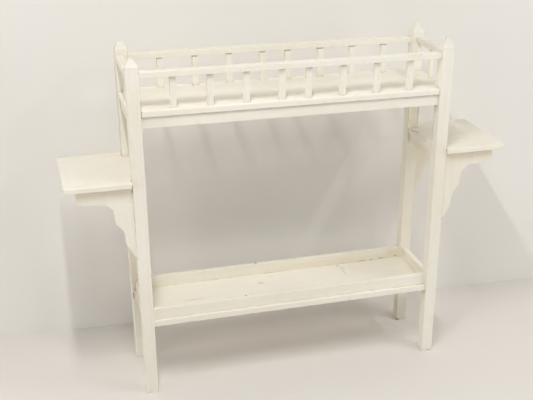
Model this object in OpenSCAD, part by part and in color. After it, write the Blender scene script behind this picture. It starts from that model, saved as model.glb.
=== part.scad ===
// Painted wooden plant stand: two long trays one above the other, a baluster
// gallery round the upper tray and a bracketed side shelf at each end.
// X runs along the stand, the front faces -Y and Z is up. The origin is on the
// floor, under the middle of the stand. All sizes are in millimetres.

/* [Posts] */
// Width of the stand over the outer faces of its posts
stand_w = 1000; // [850:1:1400]
// Depth of the stand over the outer faces of its posts
stand_d = 271; // [230:1:420]
// Height of a post up to the foot of its point
post_h = 1065; // [950:1:1250]
// Side of a square post
post = 38.5; // [36:0.5:60]
// Height that a post's point would have if it were sharp
point_h = 35; // [10:1:80]
// Flat left on the points of the right posts
flat_right = 6; // [1:0.5:20]
// Flat left on the blunter points of the left posts
flat_left = 13; // [1:0.5:20]

/* [Upper tray] */
// Thickness of the upper board
board_t = 19; // [14:0.5:30]
// How far the upper board's edges lie inside the posts' outer faces
board_set = 2; // [0:0.5:6]
// Rounding along the upper board's edges
board_round = 4; // [1:0.5:6]
// Gap where the upper board is notched round a post, seen as a dark line
board_gap = 0.8; // [0.2:0.1:2]
// Height of the aprons under the upper board
apron_h = 34.5; // [25:0.5:80]
// Thickness of the aprons
apron_t = 19; // [15:0.5:22]
// How far the aprons lie inside the posts' outer faces
apron_set = 7.5; // [5:0.5:9]

/* [Gallery] */
// How far the tops of the gallery rails lie below the foot of the posts' points
rail_drop = 16; // [2:1:60]
// Height of the gallery, from the upper board to the tops of its rails
gallery_h = 111; // [60:1:200]
// Thickness of the gallery rails
rail_t = 18; // [15:0.5:28]
// Width of the long gallery rails
rail_w = 28; // [24:0.5:32]
// Width of the gallery rails at the ends
end_rail_w = 25; // [22:0.5:30]
// How far the long gallery rails lie inside the posts' outer faces
rail_set = 4; // [0:0.5:5]
// How far the gallery rails at the ends lie inside the posts' outer faces
end_rail_set = 0.5; // [0:0.5:3]
// Rounding along the edges of the gallery rails
rail_round = 2; // [0.5:0.5:5]
// Side of a long side's square baluster
baluster = 18; // [15:0.5:20]
// How far the front of a long side's baluster lies behind the rail's outer edge
baluster_back = 9; // [3:0.5:11]
// Side of the thinner baluster in the middle of each end
end_baluster = 12; // [11:0.5:18]
// Distance between the centres of the two middle balusters
middle_pitch = 82; // [50:1:120]
// Distance between the centres of the other balusters
pitch = 108; // [50:1:115]
// Balusters on each half of a long side
per_half = 4; // [2:1:4]

/* [Side shelves] */
// How far a side shelf reaches out past the posts
shelf_reach = 198; // [175:1:260]
// How far a side shelf stands proud of the posts at the front and the back
shelf_over = 11; // [0:1:30]
// Thickness of the side shelves
shelf_t = 17; // [12:0.5:24]
// Height of the top of the left side shelf
shelf_top_left = 729; // [560:1:820]
// Height of the top of the right side shelf
shelf_top_right = 742; // [560:1:820]
// Rounding along the side shelves' edges
shelf_round = 3; // [1:0.5:5]
// How far a side shelf's tongue runs in between the posts
tongue_in = 34; // [30:1:50]
// Gap round the posts where a side shelf is notched
notch_gap = 1; // [0.4:0.1:3]
// Height of the cross rail under the tongue
cross_h = 32; // [22:1:60]
// Thickness of the cross rail
cross_t = 20; // [14:0.5:22]
// How far the cross rail lies inside the posts' outer faces
cross_set = 9; // [6:0.5:12]

/* [Brackets] */
// Thickness of the bracket board
bracket_t = 20; // [14:0.5:26]
// How far a bracket lies behind the posts' front or back face
bracket_set = 5; // [0:0.5:10]
// Length of the bracket's arm
arm_l = 165; // [140:1:172]
// Height of the arm at its nose
nose_h = 42; // [30:1:50]
// Cut-off corner on the arm's nose
nose_cut = 6; // [1:0.5:12]
// Height of the arm where it meets the leg
root_h = 51; // [45:1:70]
// Radius of the cove between arm and leg
cove_r = 34; // [8:1:38]
// Width of the leg under the arm
leg_w = 61; // [50:1:75]
// Distance from the shelf down to the upper shoulder of the leg
shoulder_z = 114; // [100:1:122]
// Width of the leg at its upper shoulder
shoulder_w = 56; // [45:1:60]
// Width of the leg's narrow part
neck_w = 31.5; // [25:0.5:38]
// How much narrower that part gets towards the lower shoulder
neck_taper = 2; // [0:0.5:6]
// Radius of the curve from the upper shoulder down into the narrow part
neck_r = 44; // [10:1:50]
// Distance from the shelf down to the lower shoulder of the leg
ankle_z = 183; // [176:1:205]
// Distance from the shelf down to the toe of the leg
toe_z = 235; // [225:1:300]
// Diameter of the dowels that hold a bracket to its post
dowel_d = 8; // [5:0.5:10]
// Length of those dowels
dowel_l = 32; // [20:1:40]

/* [Lower tray] */
// Height of the top of the lower floor board
low_top = 258; // [120:1:420]
// Thickness of the lower floor board
low_t = 20; // [14:0.5:28]
// How far the lower floor's long edges lie inside the posts' outer faces
low_set = 5; // [0:0.5:9]
// How far the lower floor's ends lie inside the posts' outer faces
low_end_set = 10; // [0:0.5:14]
// Height of the lips that stand on the lower floor
lip_h = 38; // [20:1:90]
// Thickness of the lips
lip_t = 18; // [10:0.5:20]
// How far the lips lie inside the posts' outer faces
lip_set = 14; // [10:0.5:18]
// Rounding along the edges of lips and lower floor
lip_round = 2; // [0.5:0.5:4]

/* [Joints] */
// Thickness of the tenons
tenon_t = 9; // [6:0.5:11]
// Shoulder above and below each tenon
shoulder = 4; // [2:0.5:5]
// Wall left between two tenons that meet in a post
mortise_wall = 3.5; // [2:0.5:5]
// Side of the stub tenon on a baluster
stub = 8; // [5:0.5:9]
// Length of that stub tenon
stub_l = 8; // [4:0.5:10]
// Depth of the housing that a post has for the lower floor
housing = 5; // [2:0.5:10]
// Clearance all round a joint
fit = 0.15; // [0.05:0.05:0.5]
// Diameter of a nail
nail_d = 2.6; // [1.6:0.1:4]
// Diameter of a nail's head
head_d = 5.5; // [4.5:0.1:8]
// Thickness of a nail's head
head_t = 1.4; // [0.8:0.1:3]
// Length of a nail
nail_l = 31; // [29:0.5:32]

/* [Hidden] */
// Sides: -1 is left or front, 1 is right or back
LEFT = -1;
RIGHT = 1;
FRONT = -1;
BACK = 1;

LONG = ["front", "back"];
ENDS = ["left", "right"];
SIGN = [-1, 1];

$fn = 48;

// Colours of the paint, of the paint on the broad boards, and of the metal and dowels
PAINT = [0.94, 0.91, 0.83];
BOARD_PAINT = [0.93, 0.89, 0.79];
STEEL = [0.62, 0.61, 0.58];
BEECH = [0.80, 0.64, 0.44];

// A cut runs this far past the face that it opens
past = 1;

// Outer corner of the stand, and the inner faces of the posts there
out_x = -stand_w / 2;
out_y = -stand_d / 2;
in_x = out_x + post;
in_y = out_y + post;

// Heights of the gallery and the upper tray, which hang from the posts' tops
rail_top = post_h - rail_drop;
tray_top = rail_top - gallery_h;
board_z = tray_top - board_t;
apron_z = board_z - apron_h;
rail_z = rail_top - rail_t;

// Tenons stop short of each other inside a post
apron_tenon = post - apron_set - (apron_t + tenon_t) / 2 - mortise_wall;
rail_tenon = post - max(rail_set + rail_w / 2, end_rail_set + end_rail_w / 2)
    - tenon_t / 2 - mortise_wall;
cross_tenon = apron_tenon;

// Centre lines of the balusters
baluster_y = out_y + rail_set + baluster_back + baluster / 2;
end_baluster_x = out_x + end_rail_set + end_rail_w / 2;

// The upper board is nailed down on the aprons, half way between balusters
nail_row = apron_set + apron_t / 2;
between = (middle_pitch + pitch) / 2;
BOARD_NAILS_X = [between, between + 2 * pitch];
END_NAIL_Y = (stand_d - 2 * post) / 4;
LIP_NAILS = 6;
lip_nail_x = (stand_w - 2 * post) / LIP_NAILS;

// A bracket's dowels stand in the middle of its board
dowel_y = bracket_set + bracket_t / 2;
DOWELS_DOWN = [root_h + cove_r, (shoulder_z + ankle_z) / 2];
// A shelf is nailed to each bracket's arm and to the cross rail
SHELF_NAILS_OUT = [arm_l / 5, arm_l * 4 / 5];

function shelf_top(end) = end < 0 ? shelf_top_left : shelf_top_right;
function shelf_z(end) = shelf_top(end) - shelf_t;
function unit(v) = v / norm(v);
// Centre of baluster i of a long side, counted from the left
function baluster_x(i) =
    let (k = i - per_half) k < 0 ? -middle_pitch / 2 + (k + 1) * pitch : middle_pitch / 2 + k * pitch;

// Puts what is drawn for the left end on either end
module at_end(end) {
    if (end < 0) children();
    else mirror([1, 0, 0]) children();
}

// Puts what is drawn for the front on either long side
module at_side(side) {
    if (side < 0) children();
    else mirror([0, 1, 0]) children();
}

// Rectangle from the origin with rounded corners
module soft_rect(w, h, r) {
    translate([r, 0]) square([w - 2 * r, h]);
    translate([0, r]) square([w, h - 2 * r]);
    for (x = [r, w - r]) for (y = [r, h - r]) translate([x, y]) circle(r);
}

// Bar along X from x0 to x1, with its section's corner at y, z
module bar_x(x0, x1, y, z, w, h, r) {
    translate([x0, y, z]) rotate([90, 0, 90]) linear_extrude(x1 - x0) soft_rect(w, h, r);
}

// Bar along Y from y0 to y1, with its section's corner at x, z
module bar_y(y0, y1, x, z, w, h, r) {
    translate([x, y1, z]) rotate([90, 0, 0]) linear_extrude(y1 - y0) soft_rect(w, h, r);
}

// Pair of tenons in line along X at the front, run through the bar that has them
module tenon_x(set, w, z, h, l, grow) {
    half = -in_x + l + grow;
    translate([-half, out_y + set + (w - tenon_t) / 2 - grow, z + shoulder - grow])
        cube([2 * half, tenon_t + 2 * grow, h - 2 * shoulder + 2 * grow]);
}

// The same along Y at the left end
module tenon_y(set, w, z, h, l, grow) {
    half = -in_y + l + grow;
    translate([out_x + set + (w - tenon_t) / 2 - grow, -half, z + shoulder - grow])
        cube([tenon_t + 2 * grow, 2 * half, h - 2 * shoulder + 2 * grow]);
}

module apron_tenon_x(grow) { tenon_x(apron_set, apron_t, apron_z, apron_h, apron_tenon, grow); }
module apron_tenon_y(grow) { tenon_y(apron_set, apron_t, apron_z, apron_h, apron_tenon, grow); }
module rail_tenon_x(grow) { tenon_x(rail_set, rail_w, rail_z, rail_t, rail_tenon, grow); }
module rail_tenon_y(grow) { tenon_y(end_rail_set, end_rail_w, rail_z, rail_t, rail_tenon, grow); }
module cross_tenon_y(end, grow) {
    tenon_y(cross_set, cross_t, shelf_z(end) - cross_h, cross_h, cross_tenon, grow);
}

// One nail, head up, with the top of its head at the origin
module nail(grow) {
    translate([0, 0, -nail_l - grow]) cylinder(h = nail_l + grow, d = nail_d + 2 * grow);
    translate([0, 0, -head_t - grow]) cylinder(h = head_t + grow + (grow > 0 ? past : 0), d = head_d + 2 * grow);
}

// Nails driven through the upper board into the front apron
module board_nails_long(grow) {
    for (x = BOARD_NAILS_X) for (m = SIGN)
        translate([m * x, out_y + nail_row, tray_top]) nail(grow);
}

// Nails driven through the upper board into the apron at the left end
module board_nails_end(grow) {
    for (m = SIGN) translate([out_x + nail_row, m * END_NAIL_Y, tray_top]) nail(grow);
}

// Nails driven up through the lower floor into the front lip
module lip_nails_long(grow) {
    for (i = [0:LIP_NAILS - 1])
        translate([(i - (LIP_NAILS - 1) / 2) * lip_nail_x, out_y + lip_set + lip_t / 2, low_top - low_t])
            mirror([0, 0, 1]) nail(grow);
}

// Nails driven up into the lip at the left end
module lip_nails_end(grow) {
    for (m = SIGN)
        translate([out_x + lip_set + lip_t / 2, m * END_NAIL_Y, low_top - low_t])
            mirror([0, 0, 1]) nail(grow);
}

// Nails of one side shelf, drawn at the left end
module shelf_nails_end(end, grow) {
    for (side = SIGN) {
        for (u = SHELF_NAILS_OUT)
            at_side(side) translate([out_x - u, out_y + dowel_y, shelf_top(end)]) nail(grow);
        translate([out_x + cross_set + cross_t / 2, side * END_NAIL_Y, shelf_top(end)]) nail(grow);
    }
}

// Dowels of one bracket, drawn at the left end and the front
module dowels(end, grow) {
    for (down = DOWELS_DOWN)
        translate([out_x - dowel_l / 2 - grow, out_y + dowel_y, shelf_z(end) - down])
            rotate([0, 90, 0]) cylinder(h = dowel_l + 2 * grow, d = dowel_d + 2 * grow);
}

// Outline of a post seen from one side, with its blunt point
module post_outline(flat) {
    top = post_h + point_h * (1 - flat / post);
    polygon([[0, 0], [post, 0], [post, post_h], [(post + flat) / 2, top],
        [(post - flat) / 2, top], [0, post_h]]);
}

// A square post whose four sides run up to a point
module post_blank(flat) {
    intersection() {
        translate([0, post, 0]) rotate([90, 0, 0]) linear_extrude(post) post_outline(flat);
        rotate([90, 0, 90]) linear_extrude(post) post_outline(flat);
    }
}

module corner_post(end, side) {
    color(PAINT) at_end(end) at_side(side) difference() {
        translate([out_x, out_y, 0]) post_blank(end < 0 ? flat_left : flat_right);
        apron_tenon_x(fit);
        apron_tenon_y(fit);
        rail_tenon_x(fit);
        rail_tenon_y(fit);
        cross_tenon_y(end, fit);
        translate([in_x - housing - fit, out_y + low_set - fit, low_top - low_t - fit])
            cube([housing + past, post, low_t + 2 * fit]);
        dowels(end, fit);
    }
}

module upper_apron_long(side) {
    color(PAINT) at_side(side) difference() {
        union() {
            translate([in_x, out_y + apron_set, apron_z]) cube([-2 * in_x, apron_t, apron_h]);
            apron_tenon_x(0);
        }
        board_nails_long(fit);
    }
}

module upper_apron_end(end) {
    color(PAINT) at_end(end) difference() {
        union() {
            translate([out_x + apron_set, in_y, apron_z]) cube([apron_t, -2 * in_y, apron_h]);
            apron_tenon_y(0);
        }
        board_nails_end(fit);
    }
}

// Mortises for the stub tenons of a long side's balusters, open at height z
module stub_mortises(z, down) {
    for (i = [0:2 * per_half - 1])
        translate([baluster_x(i) - stub / 2 - fit, baluster_y - stub / 2 - fit, down ? z - stub_l - fit : z - past])
            cube([stub + 2 * fit, stub + 2 * fit, stub_l + fit + past]);
}

// The same for the baluster in the middle of the left end
module end_stub_mortise(z, down) {
    translate([end_baluster_x - stub / 2 - fit, -stub / 2 - fit, down ? z - stub_l - fit : z - past])
        cube([stub + 2 * fit, stub + 2 * fit, stub_l + fit + past]);
}

// The upper board lies on the aprons, notched round the posts, and carries the balusters
module upper_board() {
    x0 = out_x + board_set;
    y0 = out_y + board_set;
    color(BOARD_PAINT) difference() {
        intersection() {
            bar_x(x0, -x0, y0, board_z, -2 * y0, board_t, board_round);
            bar_y(y0, -y0, x0, board_z, -2 * x0, board_t, board_round);
        }
        for (end = SIGN) for (side = SIGN) at_end(end) at_side(side)
            translate([out_x - past, out_y - past, board_z - past])
                cube([post + board_gap + past, post + board_gap + past, board_t + 2 * past]);
        for (side = SIGN) at_side(side) {
            stub_mortises(tray_top, true);
            board_nails_long(fit);
        }
        for (end = SIGN) at_end(end) {
            end_stub_mortise(tray_top, true);
            board_nails_end(fit);
        }
    }
}

module gallery_rail_long(side) {
    color(PAINT) at_side(side) difference() {
        union() {
            bar_x(in_x, -in_x, out_y + rail_set, rail_z, rail_w, rail_t, rail_round);
            rail_tenon_x(0);
        }
        stub_mortises(rail_z, false);
    }
}

module gallery_rail_end(end) {
    color(PAINT) at_end(end) difference() {
        union() {
            bar_y(in_y, -in_y, out_x + end_rail_set, rail_z, end_rail_w, rail_t, rail_round);
            rail_tenon_y(0);
        }
        end_stub_mortise(rail_z, false);
    }
}

// A square baluster of the given side standing at x, y, with a stub tenon at each end
module baluster_at(x, y, side) {
    color(PAINT) {
        translate([x - side / 2, y - side / 2, tray_top]) cube([side, side, rail_z - tray_top]);
        translate([x - stub / 2, y - stub / 2, tray_top - stub_l])
            cube([stub, stub, rail_z - tray_top + 2 * stub_l]);
    }
}

module cross_rail(end) {
    z = shelf_z(end) - cross_h;
    color(PAINT) at_end(end) difference() {
        union() {
            translate([out_x + cross_set, in_y, z]) cube([cross_t, -2 * in_y, cross_h]);
            cross_tenon_y(end, 0);
        }
        shelf_nails_end(end, fit);
    }
}

// A side shelf: a wide board outside the posts, and a tongue in between them
module side_shelf(end) {
    x0 = out_x - shelf_reach;
    y0 = out_y - shelf_over;
    reach = shelf_reach + tongue_in;
    color(PAINT) at_end(end) difference() {
        intersection() {
            bar_x(x0, x0 + reach, y0, shelf_z(end), -2 * y0, shelf_t, shelf_round);
            bar_y(y0, -y0, x0, shelf_z(end), reach, shelf_t, shelf_round);
        }
        for (side = SIGN) at_side(side)
            translate([out_x - notch_gap, y0 - past, shelf_z(end) - past])
                cube([tongue_in + notch_gap + past, shelf_over + post + notch_gap + past, shelf_t + 2 * past]);
        shelf_nails_end(end, fit);
    }
}

// Fills the inner corner c, between edges that run off along d1 and d2, with a curve
module cove(c, d1, d2, r) {
    half = acos(unit(d1) * unit(d2)) / 2;
    t = r / tan(half);
    difference() {
        polygon([c, c + unit(d1) * t, c + unit(d2) * t]);
        translate(c + unit(unit(d1) + unit(d2)) * r / sin(half)) circle(r);
    }
}

// Outline of a bracket: x runs out from the post and y runs down from the shelf
module bracket_outline() {
    nose = [arm_l - nose_cut, nose_h];
    root = [leg_w, root_h];
    upper = [shoulder_w, shoulder_z];
    neck = [neck_w, shoulder_z + shoulder_w - neck_w];
    ankle = [neck_w - neck_taper, ankle_z];
    toe = [0, toe_z];
    polygon([[0, 0], [arm_l, 0], [arm_l, nose_h - nose_cut], nose, root, upper, neck, ankle, toe]);
    cove(root, nose - root, upper - root, cove_r);
    cove(neck, upper - neck, ankle - neck, neck_r);
}

module bracket(end, side) {
    color(PAINT) at_end(end) at_side(side) difference() {
        translate([out_x, out_y + bracket_set, shelf_z(end)])
            rotate([-90, 0, 0]) mirror([1, 0, 0]) linear_extrude(bracket_t) bracket_outline();
        dowels(end, fit);
        shelf_nails_end(end, fit);
    }
}

// The lower floor is notched round the posts, and its corners are let into them
module lower_floor() {
    x0 = out_x + low_end_set;
    y0 = out_y + low_set;
    z = low_top - low_t;
    color(BOARD_PAINT) difference() {
        intersection() {
            bar_x(x0, -x0, y0, z, -2 * y0, low_t, lip_round);
            bar_y(y0, -y0, x0, z, -2 * x0, low_t, lip_round);
        }
        for (end = SIGN) for (side = SIGN) at_end(end) at_side(side)
            translate([out_x, out_y, z - past])
                cube([post - housing, post + fit, low_t + 2 * past]);
        for (side = SIGN) at_side(side) lip_nails_long(fit);
        for (end = SIGN) at_end(end) lip_nails_end(fit);
    }
}

module lower_lip_long(side) {
    color(PAINT) at_side(side) difference() {
        bar_x(in_x, -in_x, out_y + lip_set, low_top, lip_t, lip_h, lip_round);
        lip_nails_long(fit);
    }
}

module lower_lip_end(end) {
    color(PAINT) at_end(end) difference() {
        bar_y(in_y, -in_y, out_x + lip_set, low_top, lip_t, lip_h, lip_round);
        lip_nails_end(fit);
    }
}

module board_nails() {
    color(STEEL) {
        for (side = SIGN) at_side(side) board_nails_long(0);
        for (end = SIGN) at_end(end) board_nails_end(0);
    }
}

module shelf_nails() {
    color(STEEL) for (end = SIGN) at_end(end) shelf_nails_end(end, 0);
}

module lip_nails() {
    color(STEEL) {
        for (side = SIGN) at_side(side) lip_nails_long(0);
        for (end = SIGN) at_end(end) lip_nails_end(0);
    }
}

module bracket_dowels() {
    color(BEECH) for (end = SIGN) for (side = SIGN) at_end(end) at_side(side) dowels(end, 0);
}

corner_post(LEFT, FRONT);  // post_front_left
corner_post(LEFT, BACK);  // post_back_left
corner_post(RIGHT, FRONT);  // post_front_right
corner_post(RIGHT, BACK);  // post_back_right
upper_apron_long(FRONT);  // upper_apron_front
upper_apron_long(BACK);  // upper_apron_back
upper_apron_end(LEFT);  // upper_apron_left
upper_apron_end(RIGHT);  // upper_apron_right
upper_board();
gallery_rail_long(FRONT);  // gallery_rail_front
gallery_rail_long(BACK);  // gallery_rail_back
gallery_rail_end(LEFT);  // gallery_rail_left
gallery_rail_end(RIGHT);  // gallery_rail_right
for (i = [1:2 * per_half]) {
    baluster_at(baluster_x(i - 1), baluster_y, baluster);
    baluster_at(baluster_x(i - 1), -baluster_y, baluster);
}
baluster_at(end_baluster_x, 0, end_baluster);  // baluster_left
baluster_at(-end_baluster_x, 0, end_baluster);  // baluster_right
cross_rail(LEFT);  // cross_rail_left
cross_rail(RIGHT);  // cross_rail_right
side_shelf(LEFT);  // side_shelf_left
side_shelf(RIGHT);  // side_shelf_right
bracket(LEFT, FRONT);  // bracket_front_left
bracket(LEFT, BACK);  // bracket_back_left
bracket(RIGHT, FRONT);  // bracket_front_right
bracket(RIGHT, BACK);  // bracket_back_right
lower_floor();
lower_lip_long(FRONT);  // lower_lip_front
lower_lip_long(BACK);  // lower_lip_back
lower_lip_end(LEFT);  // lower_lip_left
lower_lip_end(RIGHT);  // lower_lip_right
board_nails();
shelf_nails();
lip_nails();
bracket_dowels();
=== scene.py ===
# %% [markdown]
# # A painted wooden plant stand
# The stand is made of planed softwood, brushed with cream-white paint and knocked about for years.
# This lesson dresses its construction model: every board is modelled again with the soft arrises,
# dents and slightly wavy faces that handwork leaves, and gets a paint that shows brush strokes,
# knots and worn edges.
#
# The construction model comes first and is only measured. Nothing below moves it.

# %% Load the construction model
import math
import bpy
from mathutils import Matrix, Vector


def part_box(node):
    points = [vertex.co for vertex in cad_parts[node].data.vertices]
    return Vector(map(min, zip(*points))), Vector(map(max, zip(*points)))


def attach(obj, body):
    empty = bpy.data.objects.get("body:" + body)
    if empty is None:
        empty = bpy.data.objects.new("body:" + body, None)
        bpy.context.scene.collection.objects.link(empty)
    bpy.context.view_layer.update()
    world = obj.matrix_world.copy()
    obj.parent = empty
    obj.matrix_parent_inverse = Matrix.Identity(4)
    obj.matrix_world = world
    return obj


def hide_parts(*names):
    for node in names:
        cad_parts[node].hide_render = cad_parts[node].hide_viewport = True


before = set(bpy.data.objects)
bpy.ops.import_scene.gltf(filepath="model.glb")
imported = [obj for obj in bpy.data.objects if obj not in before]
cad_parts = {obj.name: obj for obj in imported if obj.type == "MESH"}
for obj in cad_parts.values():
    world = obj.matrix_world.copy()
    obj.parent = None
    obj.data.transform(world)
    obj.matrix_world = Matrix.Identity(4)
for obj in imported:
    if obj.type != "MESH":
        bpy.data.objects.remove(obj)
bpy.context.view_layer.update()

# %% [markdown]
# ## The camera
# The photograph looks down on the stand from the front, a little from its left. The lens and the
# place of the camera were worked out from the corners of the posts and trays, so that the render
# lies over the photograph edge for edge, which a camera placed by eye seldom does. The picture had
# been cropped off centre, and a small lens shift brings that back without tilting the posts.

# %% Camera
CAMERA_PLACE = Vector((-0.7908, -2.7387, 1.7099))
CAMERA_TURN = math.radians(16.73)
CAMERA_TILT = math.radians(24.96)
CAMERA_ROLL = math.radians(0.39)
LENS = 63.77
SENSOR = 36.0
SHIFT = (-0.0508, 0.0966)

bpy.ops.object.camera_add()
camera = bpy.context.object
camera.name = "camera"
camera.data.lens = LENS
camera.data.sensor_width = SENSOR
camera.data.sensor_fit = "HORIZONTAL"
camera.data.shift_x, camera.data.shift_y = SHIFT
camera.matrix_world = (
    Matrix.Translation(CAMERA_PLACE)
    @ Matrix.Rotation(-CAMERA_TURN, 4, "Z")
    @ Matrix.Rotation(math.pi / 2 - CAMERA_TILT, 4, "X")
    @ Matrix.Rotation(CAMERA_ROLL, 4, "Z")
)
bpy.context.scene.camera = camera
print("camera looks along", (camera.matrix_world.to_3x3() @ Vector((0, 0, -1)))[:])

# %% [markdown]
# ## Helpers for work at the bench
# A wooden part starts as a blank, a plain block sawn to size. Every operator works on what is
# selected, so each blank starts with nothing selected. It could be built from a list of corners, but
# a cube primitive is what one would reach for by hand.

# %% Start a blank


def clear_bench():
    """Leaves edit mode and deselects everything."""
    if bpy.context.object and bpy.context.object.mode != "OBJECT":
        bpy.ops.object.mode_set(mode="OBJECT")
    bpy.ops.object.select_all(action="DESELECT")


def name_blank(name):
    """Names the new blank and gives it a vertex group that will hold its worn arrises."""
    piece = bpy.context.object
    piece.name = piece.data.name = name
    piece.vertex_groups.new(name="arris")
    return piece


def block(name, low, high):
    """A cube primitive brought to the size and place of a blank of wood, left in edit mode."""
    clear_bench()
    low, high = Vector(low), Vector(high)
    bpy.ops.mesh.primitive_cube_add(size=1, location=(low + high) / 2, scale=high - low)
    piece = name_blank(name)
    bpy.ops.object.transform_apply(location=True, rotation=True, scale=True)
    bpy.ops.object.mode_set(mode="EDIT")
    return piece


print("ready to cut blanks")

# %% [markdown]
# Faces and edges could be picked by number, but the numbers change with every cut. Here they are
# picked by where they lie or which way they look, as one would point at them.

# %% Pick and select
AXES = {"X": Vector((1, 0, 0)), "Y": Vector((0, 1, 0)), "Z": Vector((0, 0, 1))}
# How nearly an edge must run along an axis, and a face look along one, as a cosine
ALONG = 0.999
FACING = 0.9
# Lengths this near to each other are alike, and places this near are flush or the same, in metres
NEAR = 0.003
FLUSH = 0.0003
SAME = 0.00003


def pick(kind, test):
    """In edit mode, selects just the faces or edges for which test is true. Returns how many."""
    mesh = bpy.context.object.data
    bpy.ops.mesh.select_mode(type=kind)
    bpy.ops.mesh.select_all(action="DESELECT")
    bpy.ops.object.mode_set(mode="OBJECT")
    parts = mesh.polygons if kind == "FACE" else mesh.edges
    count = 0
    for part in parts:
        part.select = bool(test(part))
        count += part.select
    bpy.ops.object.mode_set(mode="EDIT")
    return count


def ends(edge):
    """The two end points of an edge of the piece at hand."""
    vertices = bpy.context.object.data.vertices
    return [vertices[v].co for v in edge.vertices]


def runs(edge, axis):
    """True where an edge runs along the axis."""
    a, b = ends(edge)
    return abs((b - a).normalized().dot(AXES[axis])) > ALONG


def middle(edge):
    """The place halfway along an edge."""
    a, b = ends(edge)
    return (a + b) / 2


def level(edge, z):
    """True where both ends of an edge lie at the height z."""
    return all(abs(end.z - z) < FLUSH for end in ends(edge))


print("faces and edges are picked to", FLUSH, "m")

# %% [markdown]
# ## What years do to a planed board
# A hand-planed, much painted board has no true edge. Only its free arrises get rounded, though: where
# it butts against a post its end stays square. A Bevel modifier would need a weight on each edge to
# tell them apart. Here the free edges are picked and bevelled in edit mode, and the new round is put
# in the vertex group "arris". The long edges are then cut short, so that the wood has vertices to
# wave with.

# %% Round and cut
BEVEL_STEPS = 3
# An edge is cut once it is this many steps long
CUT_OVER = 1.5


def round_edges(test, width, steps=BEVEL_STEPS):
    """In edit mode, rounds the edges for which test is true and marks the round as an arris."""
    if pick("EDGE", test):
        bpy.ops.mesh.bevel(offset=width, segments=steps, affect="EDGES")
        bpy.ops.object.vertex_group_assign()


def cut_lengths(axis, step):
    """In edit mode, cuts every edge that runs along the axis into lengths of about step."""
    def length(edge):
        a, b = ends(edge)
        return (b - a).length

    bpy.ops.object.mode_set(mode="OBJECT")
    left = sorted(length(e) for e in bpy.context.object.data.edges if runs(e, axis))
    bpy.ops.object.mode_set(mode="EDIT")
    while left and left[-1] > step * CUT_OVER:
        longest = left[-1]
        pick("EDGE", lambda e: runs(e, axis) and abs(length(e) - longest) < NEAR)
        bpy.ops.mesh.subdivide(number_cuts=max(1, round(longest / step) - 1))
        left = [value for value in left if value < longest - NEAR]


print("rounds have", BEVEL_STEPS, "steps")

# %% [markdown]
# One Displace modifier lets the faces wave a little, a second one, limited to the arrises, bites
# small dents into them, and weighted normals keep the faces looking flat in between. All of them are
# applied, so that the mesh itself has the shape. The wear could be sculpted by hand, but noise gives
# all the pieces the same care and comes out alike on every run.

# %% Weather
WAVE = bpy.data.textures.new("planed_waves", "CLOUDS")
WAVE.noise_scale = 0.11
WAVE.noise_depth = 1
DENT = bpy.data.textures.new("arris_dents", "CLOUDS")
DENT.noise_scale = 0.012
DENT.noise_depth = 2
DENT.contrast = 3.0
DENT.intensity = 1.25
SMOOTH_ANGLE = math.radians(38)
FLAT_WEIGHT = 80


def weather(piece, wave=0.0004, dent=0.0009):
    """Lets the wood wave and its arrises dent, with every modifier applied."""
    clear_bench()
    bpy.context.view_layer.objects.active = piece
    piece.select_set(True)
    for name, texture, depth, limited in (("waves", WAVE, wave, False), ("dents", DENT, dent, True)):
        push = piece.modifiers.new(name, "DISPLACE")
        push.texture = texture
        push.texture_coords = "LOCAL"
        push.strength = depth
        # Waves go both ways from the face, and dents only inwards
        push.mid_level = 1.0 if limited else 0.5
        if limited:
            push.vertex_group = "arris"
        bpy.ops.object.modifier_apply(modifier=push.name)
    piece.vertex_groups.clear()
    bpy.ops.object.shade_smooth_by_angle(angle=SMOOTH_ANGLE)
    flatten = piece.modifiers.new("flat_faces", "WEIGHTED_NORMAL")
    flatten.keep_sharp = True
    flatten.weight = FLAT_WEIGHT
    bpy.ops.object.modifier_apply(modifier=flatten.name)


print("waves of", round(WAVE.noise_scale, 3), "m and dents of", round(DENT.noise_scale, 3), "m")

# %% [markdown]
# Each finished piece takes the place of one node of the construction model and rides on the
# stand's one body. The way its grain runs is kept for the paint, which could also be laid on here,
# but is easier to follow in cells of its own.

# %% Seat a piece
MADE = {}
GRAIN = {}


def seat(piece, node, grain):
    """The piece stands for the node, whose solid is hidden, and stays on the stand's one body."""
    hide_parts(node)
    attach(piece, "root")
    MADE[node] = piece
    GRAIN[node] = grain


print("ready to seat pieces on", len(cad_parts), "nodes")

# %% [markdown]
# What repeats on the stand is made once, as a blank, and copied. Each copy has a mesh of its own and
# is moved to its place before it is weathered, so that no two of them wave and dent alike. Linked
# copies would be lighter, but then every dent would repeat.

# %% Set out copies


def copy_blank(blank, name, move):
    """A copy of a blank, with its own mesh, moved that far."""
    clear_bench()
    bpy.context.view_layer.objects.active = blank
    blank.select_set(True)
    bpy.ops.object.duplicate()
    copy = bpy.context.object
    copy.name = copy.data.name = name
    bpy.ops.transform.translate(value=move)
    bpy.ops.object.transform_apply(location=True, rotation=True, scale=True)
    return copy


def set_out(nodes, make, grain, **depths):
    """Makes the first node's blank, copies it to the others, then weathers and seats them all."""
    first = nodes[0]
    blanks = {first: make(first)}
    for node in nodes[1:]:
        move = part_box(node)[0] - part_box(first)[0]
        blanks[node] = copy_blank(blanks[first], "painted_" + node, move)
    for node, blank in blanks.items():
        weather(blank, **depths)
        seat(blank, node, grain)


print("ready to set out copies")

# %% [markdown]
# ## The posts
# Four square posts run from the floor to a blunt four-sided point. A post starts as a block as
# high as its shaft, and its four long arrises are rounded. Its top face is then extruded and drawn in
# to the small flat that is left of the point, and the foot and the point get small rounds of their own.
# A four-sided cone set on the block would look alike, but would leave a seam where the two meet. The
# points of the left posts are blunter than those of the right ones, so there is a blank for each end.

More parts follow.
